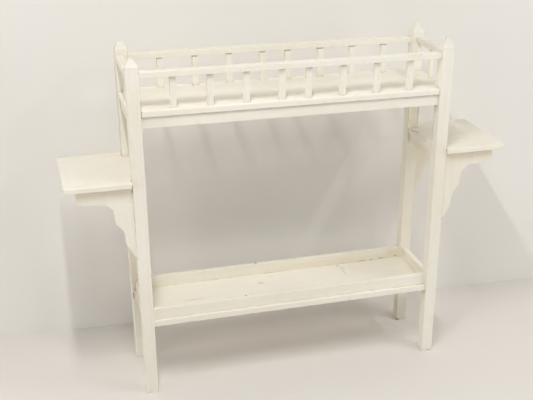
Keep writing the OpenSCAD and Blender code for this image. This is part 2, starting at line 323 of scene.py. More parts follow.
# %% Posts
# Height up to the point, width of the flat on the point, and the length that long edges are cut to
POST_HEIGHT = 1.065
FLAT = {"left": 0.013, "right": 0.006}
CUT = 0.007
POST_ARRIS = 0.0032
POINT_ARRIS = 0.0011


def post(node, end):
    """The blank of a pointed post in the place of its node, at the left or the right end."""
    low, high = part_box(node)
    side = high.x - low.x
    piece = block("painted_" + node, low, (high.x, high.y, POST_HEIGHT))
    round_edges(lambda e: runs(e, "Z"), POST_ARRIS, BEVEL_STEPS + 1)
    pick("FACE", lambda f: f.normal.z > FACING)
    bpy.ops.mesh.extrude_region_move(TRANSFORM_OT_translate={"value": (0, 0, high.z - POST_HEIGHT)})
    share = FLAT[end] / side
    bpy.ops.transform.resize(value=(share, share, 1))
    for height in (POST_HEIGHT, high.z, low.z):
        round_edges(lambda e: level(e, height), POINT_ARRIS, 2)
    cut_lengths("Z", CUT)
    return piece


for end in ("left", "right"):
    set_out([f"post_front_{end}", f"post_back_{end}"], lambda node: post(node, end), "Z")
print("faces on each post:", [len(p.data.polygons) for p in MADE.values()])

# %% [markdown]
# ## Bars between the posts
# Aprons, rails, cross rails and lips are bars with a tenon or a butt at each end. The bar is a block
# between the posts whose free arrises are rounded, the top ones and the bottom ones by their own
# amounts. Where its node reaches into the posts, the end face is extruded in place, drawn in to the
# tenon's section and extruded again into the mortise. The shoulders are let into the posts by about
# a millimetre, so that no light comes through the joint. A plain box pushed into the posts would be
# quicker, but the real tenon is thinner than its bar.

# %% Bars
# Half the space between the posts each way
INNER = {"X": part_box("post_front_right")[0].x, "Y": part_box("post_back_left")[0].y}
# Thickness of a tenon, its shoulder above and below, and how far the bar itself goes into the post
TENON = 0.009
SHOULDER = 0.004
LET_IN = 0.0012


def tenon(axis, sign, low, high, section, reach):
    """Draws the end face that looks along sign * axis in to a tenon of that section."""
    way = AXES[axis] * sign
    k = "XYZ".index(axis)
    centre = (low + high) / 2
    centre[k] = high[k] if sign > 0 else low[k]
    pick("FACE", lambda f: f.normal.dot(way) > FACING)
    bpy.ops.mesh.extrude_region_move(TRANSFORM_OT_translate={"value": (0, 0, 0)})
    bpy.ops.transform.resize(value=section, center_override=centre)
    bpy.ops.mesh.extrude_region_move(TRANSFORM_OT_translate={"value": way * reach})


def bar(node, axis, top, bottom):
    """The blank of a bar along the axis, between the posts, with tenons where its node has them."""
    low, high = (c.copy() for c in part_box(node))
    k = "XYZ".index(axis)
    across = 1 - k
    reach = high[k] - INNER[axis]
    low[k], high[k] = -INNER[axis] - LET_IN, INNER[axis] + LET_IN
    piece = block("painted_" + node, low, high)
    centre = (low + high) / 2
    round_edges(lambda e: runs(e, axis) and middle(e).z > centre.z, top)
    if bottom:
        round_edges(lambda e: runs(e, axis) and middle(e).z < centre.z, bottom)
    if reach > LET_IN:
        section = [1.0, 1.0, 1 - 2 * SHOULDER / (high.z - low.z)]
        section[across] = TENON / (high[across] - low[across])
        for sign in (-1, 1):
            tenon(axis, sign, low, high, section, reach - LET_IN)
    cut_lengths(axis, CUT)
    return piece


# Name of the bar, round of its top arrises, round of its bottom ones (none where it stands on wood)
BARS = [("upper_apron", 0.0003, 0.0016), ("gallery_rail", 0.002, 0.0015),
        ("cross_rail", 0.0003, 0.0015), ("lower_lip", 0.0026, 0)]
for name, top, bottom in BARS:
    for axis, sides in (("X", ("front", "back")), ("Y", ("left", "right"))):
        nodes = [f"{name}_{side}" for side in sides if f"{name}_{side}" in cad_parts]
        if nodes:
            set_out(nodes, lambda node: bar(node, axis, top, bottom), axis)
print("bars and posts made:", len(MADE))

# %% [markdown]
# ## The balusters
# Square sticks with a stub tenon at each end, let into the upper board and the rail. They are
# bars that stand up, so the same steps make them, with the end faces at the top and bottom. An
# Array modifier would set out a row of them, but here they are not all equally far apart. The two
# sticks at the ends are thinner and have a blank of their own.

# %% Balusters
# Width and length of the stub, and how far the stick itself goes into the board and the rail
STUB = 0.008
STUB_REACH = 0.008
STICK_SET_IN = 0.0006
STICK_ARRIS = 0.0013
STICK_WAVE = 0.0006


def baluster(node):
    """The blank of a square stick with a stub at each end, in the place of its node."""
    low, high = (c.copy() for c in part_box(node))
    side = high.x - low.x
    low.z += STUB_REACH - STICK_SET_IN
    high.z -= STUB_REACH - STICK_SET_IN
    piece = block("painted_" + node, low, high)
    round_edges(lambda e: runs(e, "Z"), STICK_ARRIS, 2)
    for sign in (-1, 1):
        tenon("Z", sign, low, high, (STUB / side, STUB / side, 1), STUB_REACH - STICK_SET_IN)
    cut_lengths("Z", CUT)
    return piece


STICKS = range(1, 9)
ALONG_SIDES = [f"baluster_{side}_{number}" for side in ("back", "front") for number in STICKS]
AT_ENDS = ["baluster_left", "baluster_right"]
for sticks in (ALONG_SIDES, AT_ENDS):
    set_out(sticks, baluster, "Z", wave=STICK_WAVE)
print("balusters:", len(ALONG_SIDES) + len(AT_ENDS))

# %% [markdown]
# ## The broad boards
# The upper board and the lower floor are wide boards notched at the corners. A plane of the board's
# outline is cut in line with the notches and its corner faces are deleted. A Boolean with the posts
# would also cut the notches, but it leaves long thin faces that shade badly.

# %% Cut and thicken


def cut_through(place, across):
    """In edit mode, cuts the whole piece by the plane through that place."""
    bpy.ops.mesh.select_all(action="SELECT")
    bpy.ops.mesh.bisect(plane_co=place, plane_no=across)


def thicken(way):
    """In edit mode, extrudes a flat outline that far and turns its faces outwards."""
    bpy.ops.mesh.select_all(action="SELECT")
    bpy.ops.mesh.extrude_region_move(TRANSFORM_OT_translate={"value": way})
    bpy.ops.mesh.select_all(action="SELECT")
    bpy.ops.mesh.normals_make_consistent(inside=False)


def notched_outline(node, notch_x, notch_y):
    """The flat outline of a board whose corners are cut away beyond notch_x and notch_y."""
    low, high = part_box(node)
    clear_bench()
    bpy.ops.mesh.primitive_plane_add(size=1, location=(0, 0, low.z))
    piece = name_blank("painted_" + node)
    bpy.ops.object.mode_set(mode="EDIT")
    bpy.ops.transform.resize(value=(high.x - low.x, high.y - low.y, 1))
    for way in (-1, 1):
        cut_through((way * notch_x, 0, 0), AXES["X"])
        cut_through((0, way * notch_y, 0), AXES["Y"])
    bpy.ops.object.mode_set(mode="OBJECT")
    bpy.ops.object.transform_apply(location=True, rotation=True, scale=True)
    bpy.ops.object.mode_set(mode="EDIT")
    pick("FACE", lambda f: abs(f.center.x) > notch_x and abs(f.center.y) > notch_y)
    bpy.ops.mesh.delete(type="FACE")
    return piece


print("ready to cut outlines")

# %% [markdown]
# The outline is extruded to the board's thickness and its outer arrises are rounded, more on top than
# below. The walls of the notches stay square. The lower floor is let into the posts, while the upper
# board stops just short of them. The two boards differ in size, so neither is a copy of the other.

# %% Boards
# Space between the upper board and the posts, and how far the lower floor is let into them
BOARD_GAP = 0.0008
HOUSING = 0.005
UPPER_BOARD_ARRIS = 0.004
LOWER_FLOOR_ARRIS = 0.0022
LOWER_ARRIS = 0.0009
BOARD_WAVE = 0.0005
# Fine enough across a board, because its waves are some ten centimetres long
CUT_ACROSS = 4 * CUT


def notched_board(node, notch_x, notch_y, arris):
    """A notched board in the place of its node, with a rounder arris on top than below."""
    low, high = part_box(node)
    piece = notched_outline(node, notch_x, notch_y)
    thicken((0, 0, high.z - low.z))

    def outer(edge):
        place = middle(edge)
        at_side = runs(edge, "X") and abs(place.y) > high.y - FLUSH
        at_end = runs(edge, "Y") and abs(place.x) > high.x - FLUSH
        return at_side or at_end

    for face_z, width in ((high.z, arris), (low.z, LOWER_ARRIS)):
        round_edges(lambda e: level(e, face_z) and outer(e), width)
    cut_lengths("X", CUT)
    cut_lengths("Y", CUT_ACROSS)
    weather(piece, wave=BOARD_WAVE)
    seat(piece, node, "X")


notched_board("upper_board", INNER["X"] - BOARD_GAP, INNER["Y"] - BOARD_GAP, UPPER_BOARD_ARRIS)
notched_board("lower_floor", INNER["X"] + HOUSING, INNER["Y"] + LET_IN, LOWER_FLOOR_ARRIS)
print("upper board:", len(MADE["upper_board"].data.polygons), "faces")

# %% [markdown]
# ## Side shelves
# A side shelf is a wide board outside the posts with a narrower tongue that runs in between them.
# The wide board is the block. It is cut in line with the tongue's two edges, and the face between
# the cuts is extruded inwards. Two boxes could lie side by side instead, but the shelf is one board.
# Its outer arrises are well rounded, the tongue's only a little.

# %% Side shelves
SHELF_ARRIS = 0.003
TONGUE_ARRIS = 0.0012
SHELF_WAVE = 0.0007
# Space between the shelf and the posts that it is notched round
NOTCH_GAP = 0.0003


def side_shelf(node, sign):
    """A shelf with its tongue, at the left end where sign is -1 and at the right end where it is 1."""
    low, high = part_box(node)
    outer_post = -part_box("post_front_left")[0].x
    face_x = outer_post + NOTCH_GAP
    tongue_y = INNER["Y"] - NOTCH_GAP
    inner_x = min(abs(low.x), abs(high.x))
    outer_x = low.x if sign < 0 else high.x
    xs = sorted((sign * face_x, outer_x))
    piece = block("painted_" + node, (xs[0], low.y, low.z), (xs[1], high.y, high.z))
    for way in (-1, 1):
        cut_through((0, way * tongue_y, 0), AXES["Y"])
    pick("FACE", lambda f: f.normal.x * sign < -FACING and abs(f.center.y) < tongue_y)
    tongue = AXES["X"] * sign * (inner_x - face_x)
    bpy.ops.mesh.extrude_region_move(TRANSFORM_OT_translate={"value": tongue})

    def outer(edge):
        place = middle(edge)
        at_end = abs(place.x - outer_x) < FLUSH
        at_side = abs(place.y) > high.y - FLUSH
        return (runs(edge, "Y") and at_end) or (runs(edge, "X") and at_side) or (at_end and at_side)

    round_edges(outer, SHELF_ARRIS)
    round_edges(lambda e: runs(e, "Y") and abs(abs(middle(e).x) - inner_x) < FLUSH, TONGUE_ARRIS, 2)
    cut_lengths("X", CUT)
    cut_lengths("Y", CUT)
    weather(piece, wave=SHELF_WAVE)
    seat(piece, node, "X")


side_shelf("side_shelf_left", -1)
side_shelf("side_shelf_right", 1)
print("side shelves made, the left one", len(MADE["side_shelf_left"].data.polygons), "faces")

# %% [markdown]
# ## Brackets
# Each bracket is sawn from one board: a straight arm under the shelf, a cove, a leg against the
# post and a second curve down to the toe. Its outline is drawn vertex by vertex from the inner top
# corner, and the two hollows are rounded with a vertex bevel. A curve object could draw it too, but
# then no edge could be eased by itself.

# %% Draw an outline
CURVE_STEPS = 12
SEED_SIZE = 0.01


def draw_outline(name, places):
    """One face with its corners at those places, in turn, left in edit mode."""
    clear_bench()
    bpy.ops.mesh.primitive_plane_add(size=SEED_SIZE)
    piece = name_blank(name)
    bpy.ops.object.mode_set(mode="EDIT")
    bpy.ops.mesh.select_mode(type="VERT")
    bpy.ops.mesh.merge(type="CENTER")
    bpy.ops.transform.translate(value=places[0])
    for here, there in zip(places, places[1:]):
        bpy.ops.mesh.extrude_vertices_move(TRANSFORM_OT_translate={"value": there - here})
    bpy.ops.mesh.select_all(action="SELECT")
    bpy.ops.mesh.edge_face_add()
    return piece


def hollow(before, corner, after, radius):
    """How far from a corner a round of that radius meets its two edges."""
    a = (Vector(before) - Vector(corner)).normalized()
    b = (Vector(after) - Vector(corner)).normalized()
    return radius / math.tan(math.acos(a.dot(b)) / 2)


def round_corner(piece, corner, meets):
    """In edit mode, rounds the corner of the outline that lies at that place."""
    bpy.ops.mesh.select_mode(type="VERT")
    bpy.ops.mesh.select_all(action="DESELECT")
    bpy.ops.object.mode_set(mode="OBJECT")
    for v in piece.data.vertices:
        v.select = (v.co - corner).length < SAME
    bpy.ops.object.mode_set(mode="EDIT")
    bpy.ops.mesh.bevel(affect="VERTICES", offset=meets, segments=CURVE_STEPS)


print("ready to draw outlines")

# %% [markdown]
# The outline is extruded to the board's thickness, and the sawn edges are eased, but not where the
# bracket meets the shelf or the post. The front and back brackets of an end are alike. Those of the
# other end could be mirrored, but that turns a mesh inside out, so they are drawn anew.

# %% Brackets
# Places on the outline are given as the way out from the post and the way down from the shelf
NOSE = 0.042
NOSE_CUT = 0.006
ROOT = (0.061, 0.051)
UPPER_SHOULDER = (0.056, 0.114)
NECK = 0.0315
NECK_TAPER = 0.002
ANKLE_DOWN = 0.183
COVE = 0.034
NECK_CURVE = 0.044
SAWN_ARRIS = 0.0014
SAWN_DENT = 0.0006


def bracket(node, sign):
    """The blank of a bracket, at the left end where sign is -1 and at the right end where it is 1."""
    low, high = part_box(node)
    arm = high.x - low.x
    toe = high.z - low.z
    root_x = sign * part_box("post_front_right")[1].x
    neck = (NECK, UPPER_SHOULDER[1] + UPPER_SHOULDER[0] - NECK)
    nose = (arm - NOSE_CUT, NOSE)
    ankle = (NECK - NECK_TAPER, ANKLE_DOWN)

    def place(corner):
        return Vector((root_x + sign * corner[0], low.y, high.z - corner[1]))

    outline = [(0, 0), (arm, 0), (arm, NOSE - NOSE_CUT), nose, ROOT, UPPER_SHOULDER, neck, ankle, (0, toe)]
    piece = draw_outline("painted_" + node, [place(corner) for corner in outline])
    round_corner(piece, place(ROOT), hollow(nose, ROOT, UPPER_SHOULDER, COVE))
    round_corner(piece, place(neck), hollow(UPPER_SHOULDER, neck, ankle, NECK_CURVE))
    thicken((0, high.y - low.y, 0))

    def sawn(edge):
        in_face = not runs(edge, "Y")
        under_shelf = level(edge, high.z)
        on_post = abs(middle(edge).x - root_x) < FLUSH
        return in_face and not under_shelf and not on_post

    round_edges(sawn, SAWN_ARRIS, 2)
    return piece


for end, sign in (("left", -1), ("right", 1)):
    nodes = [f"bracket_front_{end}", f"bracket_back_{end}"]
    set_out(nodes, lambda node: bracket(node, sign), "Z", dent=SAWN_DENT)
print("a bracket has", len(MADE["bracket_front_left"].data.polygons), "faces")
print(len(MADE), "pieces,", sum(len(p.data.polygons) for p in MADE.values()), "faces in all")

# %% [markdown]
# ## The paint
# The paint is a warm cream white, put on with a brush over an older and yellower coat. Long soft
# streaks of the brush and finer ones of its bristles run along each board. Dust and painted shade
# darken the corners, and where arrises get knocked the paint has chipped down to darkened wood.
#
# Photographs of such paint could be wrapped round the boards, but a picture holds one board only.
# Here the paint is grown from noise at the scale of the real thing, in metres. Noise that is
# squeezed across the grain and stretched along it turns into brush strokes.

# %% Node helpers


def srgb(red, green, blue):
    """A colour as a paint card gives it, in 0 to 255, turned into the linear values of a shader."""
    def linear(c):
        c = c / 255
        return c / 12.92 if c <= 0.04045 else ((c + 0.055) / 1.055) ** 2.4
    return (linear(red), linear(green), linear(blue), 1.0)


class Recipe:
    """The nodes of one material, with short ways to add the usual ones."""

    def __init__(self, name):
        self.material = bpy.data.materials.new(name)
        self.material.use_nodes = True
        self.tree = self.material.node_tree
        self.shader = self.tree.nodes["Principled BSDF"]
        self.place = self.node("TexCoord").outputs["Object"]

    def node(self, kind, inputs=(), **settings):
        """A new node. Each input is either a value or the socket that feeds it."""
        made = self.tree.nodes.new("ShaderNode" + kind)
        for key, value in settings.items():
            setattr(made, key, value)
        for key, value in dict(inputs).items():
            if isinstance(value, bpy.types.NodeSocket):
                self.tree.links.new(value, made.inputs[key])
            else:
                made.inputs[key].default_value = value
        return made

    def math(self, operation, a, b):
        """What comes of an operation on two values."""
        return self.node("Math", {0: a, 1: b}, operation=operation).outputs[0]

    def stretched(self, scale, shift=(0, 0, 0)):
        """The object's coordinates, scaled and shifted."""
        return self.node("Mapping", {"Vector": self.place, "Scale": scale, "Location": shift}).outputs[0]

    def noise(self, vector, scale, detail=2.0, rough=0.5):
        """Noise from 0 to 1 with that many features in a unit of the vector."""
        inputs = {"Vector": vector, "Scale": scale, "Detail": detail, "Roughness": rough}
        return self.node("TexNoise", inputs).outputs["Fac"]

    def range(self, value, low, high, to_low=0.0, to_high=1.0):
        """A value that passes from low to high, turned into one that passes smoothly between two others."""
        inputs = {"Value": value, "From Min": low, "From Max": high, "To Min": to_low, "To Max": to_high}
        return self.node("MapRange", inputs, interpolation_type="SMOOTHSTEP").outputs[0]

    def mix(self, factor, under, over):
        """One colour laid over another, where the factor is 1 in full."""
        made = self.node("Mix", {"Factor": factor}, data_type="RGBA")
        # Sockets 6 and 7 are the two colours, and output 2 is the colour that comes out
        for socket, value in zip((made.inputs[6], made.inputs[7]), (under, over)):
            if isinstance(value, bpy.types.NodeSocket):
                self.tree.links.new(value, socket)
            else:
                socket.default_value = value
        return made.outputs[2]

    def feed(self, socket, value):
        """Links a value to a socket of the shader itself."""
        self.tree.links.new(value, self.shader.inputs[socket])


print("128 on the card is", round(srgb(128, 128, 128)[0], 3), "in the shader")

# %% [markdown]
# Brush strokes follow the grain, so the object's coordinates are counted in strokes: long steps
# along the grain and short ones across it. A mark that sits at one place on the stand, such as a
# knot or a knock, is a small ball in those coordinates with its rim frayed by noise. The balls could
# be empties that the material looks at, but plain numbers need no objects beside the stand.

# %% Strokes and marks
FRAY = 0.7
SOFTNESS = 0.35


def strokes(recipe, grain, along, across, shift=(0, 0, 0)):
    """Object coordinates counted in brush strokes of that length and width."""
    scale = [1 / across] * 3
    scale["XYZ".index(grain)] = 1 / along
    return recipe.stretched(scale, shift)


def mark(recipe, place, size, fray):
    """A mask that is 1 at the place and fades to 0 at about that half size round it."""
    scale = [1 / s for s in size]
    shift = [-p / s for p, s in zip(place, size)]
    near = recipe.stretched(scale, shift)
    away = recipe.node("VectorMath", {0: near}, operation="LENGTH").outputs["Value"]
    away = recipe.math("ADD", away, recipe.math("MULTIPLY", fray, FRAY))
    rim = 1 + FRAY / 2
    return recipe.range(away, rim, rim - 2 * SOFTNESS)


print("a mark's rim is frayed by", FRAY, "of its half size")

# %% [markdown]
# ## Marks that years of use left, and painted shade
# Each one names its kind, where it is on the stand and how far it reaches each way. A knock shows
# dark wood and a bare patch shows clean wood. A knot bleeds tan through the paint, a stain is a thin
# wash of rusty yellow, and old is where the older coat comes through. Dirt is dark brown and a scuff
# is a greyish rub. The rest are painted shade: a dark brown line under a rail or a board that
# overhangs, a grey film on post faces in shade, a brownish film on faces that get little light, and a
# thin brownish film of dust and painted shade that dims the lit points of the posts.
#
# A list under one piece's name is for that piece. A list under the first word of some names, such as
# baluster, is for all of those. The marks could be painted on a picture by hand, but a place and a
# size stay sharp from near by and can be moved in a moment.

# %% Marks
RAIL_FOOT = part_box("gallery_rail_front")[0].z
APRON_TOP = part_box("upper_apron_front")[1].z
FLOOR_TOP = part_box("lower_floor")[1].z
POST_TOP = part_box("post_front_left")[1].z
LEFT_SHELF_FOOT, LEFT_SHELF_TOP = (corner.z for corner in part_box("side_shelf_left"))
RIGHT_SHELF_FOOT, RIGHT_SHELF_TOP = (corner.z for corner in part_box("side_shelf_right"))
LIP_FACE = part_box("lower_lip_back")[0].y
END_LIP_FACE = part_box("lower_lip_right")[0].x
EVERYWHERE = 5
MARKS = {
    # Painted shadow: a dark line under the rail at the top of each baluster and under the upper board's
    # overhang
    "baluster": [("shade line", (0, 0, RAIL_FOOT), (EVERYWHERE, EVERYWHERE, 0.0050))],
    "upper": [("shade line", (0, 0, APRON_TOP), (EVERYWHERE, EVERYWHERE, 0.0015))],
    # Dust and painted shade dim the lit points of the posts
    "post": [("dust_and_shade", (0, 0, POST_TOP), (EVERYWHERE, EVERYWHERE, 0.035))],
    "gallery_rail_right": [
        # Painted shade on the end rail's inner face, and painted shadow at its foot
        ("shade patch", (0.4745, 0.02, RAIL_FOOT + 0.006), (0.030, 0.17, 0.030)),
        ("dirt", (0.4750, 0.075, RAIL_FOOT), (0.006, 0.010, 0.0045)),
        ("dirt", (0.4750, 0.048, RAIL_FOOT), (0.006, 0.008, 0.0025)),
    ],
    "lower_lip_front": [
        ("knock", (-0.16, -0.111, 0.2955), (0.0055, 0.004, 0.0035)),
        ("dirt", (0.31, -0.1285, 0.266), (0.004, 0.003, 0.003)),
        ("old", (-0.36, -0.128, 0.285), (0.05, 0.01, 0.02)),
    ],
    "lower_lip_back": [
        ("knock", (-0.0701, 0.1125, 0.2955), (0.005, 0.006, 0.003)),
        ("dirt", (0.318, LIP_FACE, 0.2600), (0.022, 0.003, 0.0017)),
        ("dirt", (0.352, LIP_FACE, 0.2605), (0.006, 0.003, 0.0028)),
        ("dirt", (0.388, LIP_FACE, 0.2620), (0.018, 0.003, 0.0017)),
        ("dirt", (0.446, LIP_FACE, 0.2650), (0.006, 0.003, 0.0028)),
        ("old", (0.18, LIP_FACE, 0.27), (0.3, 0.004, 0.02)),
        ("stain", (0.44, LIP_FACE, 0.28), (0.05, 0.006, 0.03)),
    ],
    "lower_lip_right": [
        ("stain", (END_LIP_FACE, 0.085, 0.28), (0.004, 0.03, 0.02)),
    ],
    "lower_floor": [
        ("knot", (-0.0734, 0.036, FLOOR_TOP), (0.016, 0.012, 0.004)),
        ("knot", (-0.12, -0.03, FLOOR_TOP), (0.006, 0.005, 0.004)),
        ("dirt", (-0.146, -0.072, FLOOR_TOP), (0.004, 0.003, 0.003)),
        ("dirt", (0.2201, 0.0905, FLOOR_TOP), (0.005, 0.004, 0.003)),
        ("scuff", (0.2283, 0.050, FLOOR_TOP), (0.0036, 0.060, 0.004)),
        ("scuff", (0.2370, 0.070, FLOOR_TOP), (0.0028, 0.022, 0.004)),
        ("scuff", (-0.31, -0.02, FLOOR_TOP), (0.06, 0.004, 0.004)),
    ],
    "post_back_left": [
        ("bare", (-0.4885, 0.0968, 0.262), (0.009, 0.003, 0.014)),
        ("dirt", (-0.4960, 0.0968, 0.240), (0.003, 0.003, 0.018)),
        # Painted shade on the post's left face
        ("shaded face", (-0.5, 0.116, 0.88), (0.003, 0.06, 0.3)),
        ("stain", (-0.4885, 0.0965, 0.30), (0.022, 0.004, 0.05)),
        ("old", (-0.49, 0.0965, 0.36), (0.03, 0.004, 0.12)),
    ],
    "post_back_right": [
        ("dirt", (0.5000, 0.0965, 0.81), (0.0065, 0.006, 0.095)),
        ("dirt", (0.4995, 0.0965, 0.3195), (0.004, 0.006, 0.005)),
        ("old", (0.4807, 0.0965, 0.81), (0.03, 0.006, 0.11)),
        # Painted shadow of the lower tray on the front of the foot
        ("shaded face", (0.4807, 0.0965, 0.045), (0.06, 0.05, 0.10)),
        ("dirt", (0.4640, 0.0965, 0.0), (0.012, 0.01, 0.010)),
    ],
    "post_front_right": [
        ("dirt", (0.4615, -0.0970, 0.81), (0.0060, 0.0075, 0.085)),
        # Painted shadows on the post's left face, under the upper apron and under the lower floor
        ("shade patch", (0.4615, -0.105, 0.878), (0.004, 0.04, 0.03)),
        ("shade patch", (0.4615, -0.118, 0.235), (0.004, 0.03, 0.035)),
        ("dirt", (0.488, -0.1355, 0.0), (0.012, 0.004, 0.0045)),
        # Painted shadow of the upper apron on the post's left face
        ("dirt", (0.4615, -0.100, 0.882), (0.005, 0.02, 0.010)),
    ],
    "side_shelf_left": [
        ("dirt", (-0.5015, -0.1465, 0.7165), (0.0035, 0.004, 0.008)),
        ("dirt", (-0.5010, -0.1240, LEFT_SHELF_TOP), (0.0030, 0.014, 0.003)),
    ],
    "side_shelf_right": [
        ("dirt", (0.4752, 0.046, RIGHT_SHELF_TOP), (0.0050, 0.008, 0.003)),
        ("dirt", (0.4620, 0.082, RIGHT_SHELF_TOP), (0.0045, 0.011, 0.003)),
        ("dirt", (0.4665, 0.068, RIGHT_SHELF_TOP), (0.0045, 0.011, 0.003)),
        ("dirt", (0.4710, 0.056, RIGHT_SHELF_TOP), (0.0045, 0.010, 0.003)),
        ("scuff", (0.4735, -0.005, RIGHT_SHELF_TOP), (0.0026, 0.045, 0.003)),
    ],
    "cross_rail_right": [
        ("stain", (0.4715, 0.0, 0.70), (0.004, 0.1, 0.02)),
        ("stain", (0.4715, 0.088, 0.712), (0.004, 0.014, 0.012)),
    ],
    "bracket_front_right": [
        # Painted shadow of the shelf, in a rusty tint, along the top of the bracket
        ("stain", (0, 0, RIGHT_SHELF_FOOT), (EVERYWHERE, EVERYWHERE, 0.055)),
    ],
    "bracket_front_left": [
        # Painted shadow of the shelf, in a rusty tint, along the top of the bracket
        ("stain", (0, 0, LEFT_SHELF_FOOT), (EVERYWHERE, EVERYWHERE, 0.055)),
        ("dirt", (-0.5005, -0.1305, 0.700), (0.003, 0.004, 0.012)),
        ("stain", (-0.5118, -0.131, 0.6668), (0.008, 0.004, 0.006)),
        ("old", (-0.53, -0.131, 0.69), (0.03, 0.004, 0.012)),
    ],
}
print("marks:", sum(len(m) for m in MARKS.values()), "on", len(MARKS), "pieces and kinds")

# %% [markdown]
# ## Colours on the card
# Two creams make up the coat, and an older, yellower coat lies under it. The other colours belong to
# wood, dust and stains, and some stand for painted shade. They could be typed as the linear values
# that a shader wants, but the numbers of a paint card are easier to judge. Each kind of mark names
# its colour and how much of it there is.

# %% Colours
CREAM = srgb(246, 242, 231)
SHADED_CREAM = srgb(236, 230, 213)
OLD_COAT = srgb(226, 209, 166)
BARE_WOOD = srgb(178, 142, 98)
DARK_WOOD = srgb(104, 78, 52)
# A brownish film of dust and painted shade
DUST_AND_SHADE = srgb(158, 141, 112)
RUST_WASH = srgb(206, 170, 106)
SCUFF = srgb(196, 188, 170)
# Painted shade: a grey for post faces in shade and a dark brown for lines under an overhang
SHADE_GREY = srgb(176, 168, 152)
SHADE_BROWN = srgb(112, 98, 72)
KNOT_TAN = srgb(188, 166, 132)
TINTS = {
    "knock": (DARK_WOOD, 0.8),
    "bare": (BARE_WOOD, 0.35),
    "knot": (KNOT_TAN, 0.45),
    "stain": (RUST_WASH, 0.16),
    "old": (OLD_COAT, 0.24),
    "dirt": (DARK_WOOD, 0.7),
    # Painted shadow under an overhang
    "shade line": (SHADE_BROWN, 0.6),
    "scuff": (SCUFF, 0.5),
    # Painted shade on faces in shade; dust and painted shade on the lit points; painted shade in patches
    "shaded face": (SHADE_GREY, 0.4),
    "dust_and_shade": (DUST_AND_SHADE, 0.12),
    "shade patch": (DUST_AND_SHADE, 0.22),
}
print("kinds of mark:", ", ".join(TINTS))

# %% [markdown]
# ## Six noises
# Every mask of the paint grows from these. Clouds and patches wander over a board and specks are a
# few millimetres across; their values count how many there are in a metre. Strokes of the brush, its
# bristles and the ridges of the grain are given by length and width, in metres, along the board. One
# noise could serve for all, but then strokes, thin patches and chips would lie in the same spots.

# %% Noises
CLOUDS = 2.4
PATCHES = 13
SPECKS = 110
SHARPER = 0.6
STROKE = (0.16, 0.007)
BRISTLE = (0.05, 0.0014)
GRAIN_RIDGE = (0.35, 0.0035)
RIDGE_SHIFT = (3.1, 1.7, 0.4)


def noises(recipe, grain):
    """The noises of one material, by name."""
    return {
        "cloud": recipe.noise(recipe.place, CLOUDS, 2),
        "patch": recipe.noise(recipe.place, PATCHES, 4, SHARPER),
        "speck": recipe.noise(recipe.place, SPECKS, 4, SHARPER),
        "stroke": recipe.noise(strokes(recipe, grain, *STROKE), 1, 3),
        "bristle": recipe.noise(strokes(recipe, grain, *BRISTLE), 1, 2),
        "ridge": recipe.noise(strokes(recipe, grain, *GRAIN_RIDGE, shift=RIDGE_SHIFT), 1, 2),
    }


print("strokes of", STROKE[0], "by", STROKE[1], "m")

# %% [markdown]
# ## The coat
# Brushed paint is never one colour. The two creams are mixed by clouds, strokes and patches together,
# and where a patch is thin the strokes let the older coat shine through. One mixed colour would be
# simpler, but then every board would look like plastic.

# %% The coat
# How much each noise adds to the tone, and the values between which a noise is turned into a mask
TONE = {"cloud": 0.45, "stroke": 0.35, "patch": 0.2}
USUAL = (0.3, 0.7)
CLOUD_EDGES = (0.36, 0.64)
THIN_PATCH = (0.56, 0.74)
THIN_STROKE = (0.42, 0.62)
SHINES_THROUGH = 0.4


def coat(recipe, noise):
    """The colour of the paint where nothing has happened to it."""
    tone = recipe.range(noise["cloud"], *CLOUD_EDGES, 0, TONE["cloud"])
    for name in ("stroke", "patch"):
        tone = recipe.math("ADD", tone, recipe.range(noise[name], *USUAL, 0, TONE[name]))
    colour = recipe.mix(tone, SHADED_CREAM, CREAM)
    patch = recipe.range(noise["patch"], *THIN_PATCH)
    thin = recipe.math("MULTIPLY", patch, recipe.range(noise["stroke"], *THIN_STROKE, 0, SHINES_THROUGH))
    return recipe.mix(thin, colour, OLD_COAT)


print("tone comes from", ", ".join(TONE))

# %% [markdown]
# ## Dust and painted shade in the corners
# A duster does not reach where boards meet, and little light reaches there either. An Ambient
# Occlusion node measures how much of the space round a place is taken up by wood, and the brownish
# film laid there stands for dust and painted shade together. The corners could be painted by hand,
# but the node finds them on every board by itself.

# %% Dust and painted shade
CORNER_REACH = 0.022
CORNER_RAYS = 5
OPEN_TO_SHUT = (0.8, 0.3)
USUAL_DUST_AND_SHADE = 0.5
# Shares of dust and painted shade between the patches and on them, and where a patch begins and is full
DUST_AND_SHADE_BETWEEN = 0.15
DUST_AND_SHADE_ON_PATCH = 0.75
DUST_AND_SHADE_PATCH = (0.3, 0.66)


def dust_and_shade_in_corners(recipe, noise, colour, dust_and_shade):
    """Dust and painted shade over the colour, in patches, where a place is shut in by other wood."""
    corner = recipe.node("AmbientOcclusion", {"Distance": CORNER_REACH}, samples=CORNER_RAYS).outputs["AO"]
    corner = recipe.range(corner, *OPEN_TO_SHUT)
    layer = recipe.range(noise["patch"], *DUST_AND_SHADE_PATCH, DUST_AND_SHADE_BETWEEN * dust_and_shade, DUST_AND_SHADE_ON_PATCH * dust_and_shade)
    return recipe.mix(recipe.math("MULTIPLY", corner, layer), colour, DUST_AND_SHADE)


print("dust reaches", CORNER_REACH, "m out of a corner")

# %% [markdown]
# ## Worn arrises
# Hands and pots rub the arrises first. A second Ambient Occlusion node looks into the wood: under a
# broad face it meets nothing for some millimetres, and near an arris it soon meets the next face.
# The rubbing is made ragged by specks. Where it is light the older coat shows, and where it is hard
# the paint is chipped off to the wood. A few specks are chipped off the faces too. The round of each
# arris could be coloured as faces of its own, but then the wear would end in straight lines.

# %% Wear
ARRIS_REACH = 0.005
ARRIS_RAYS = 6
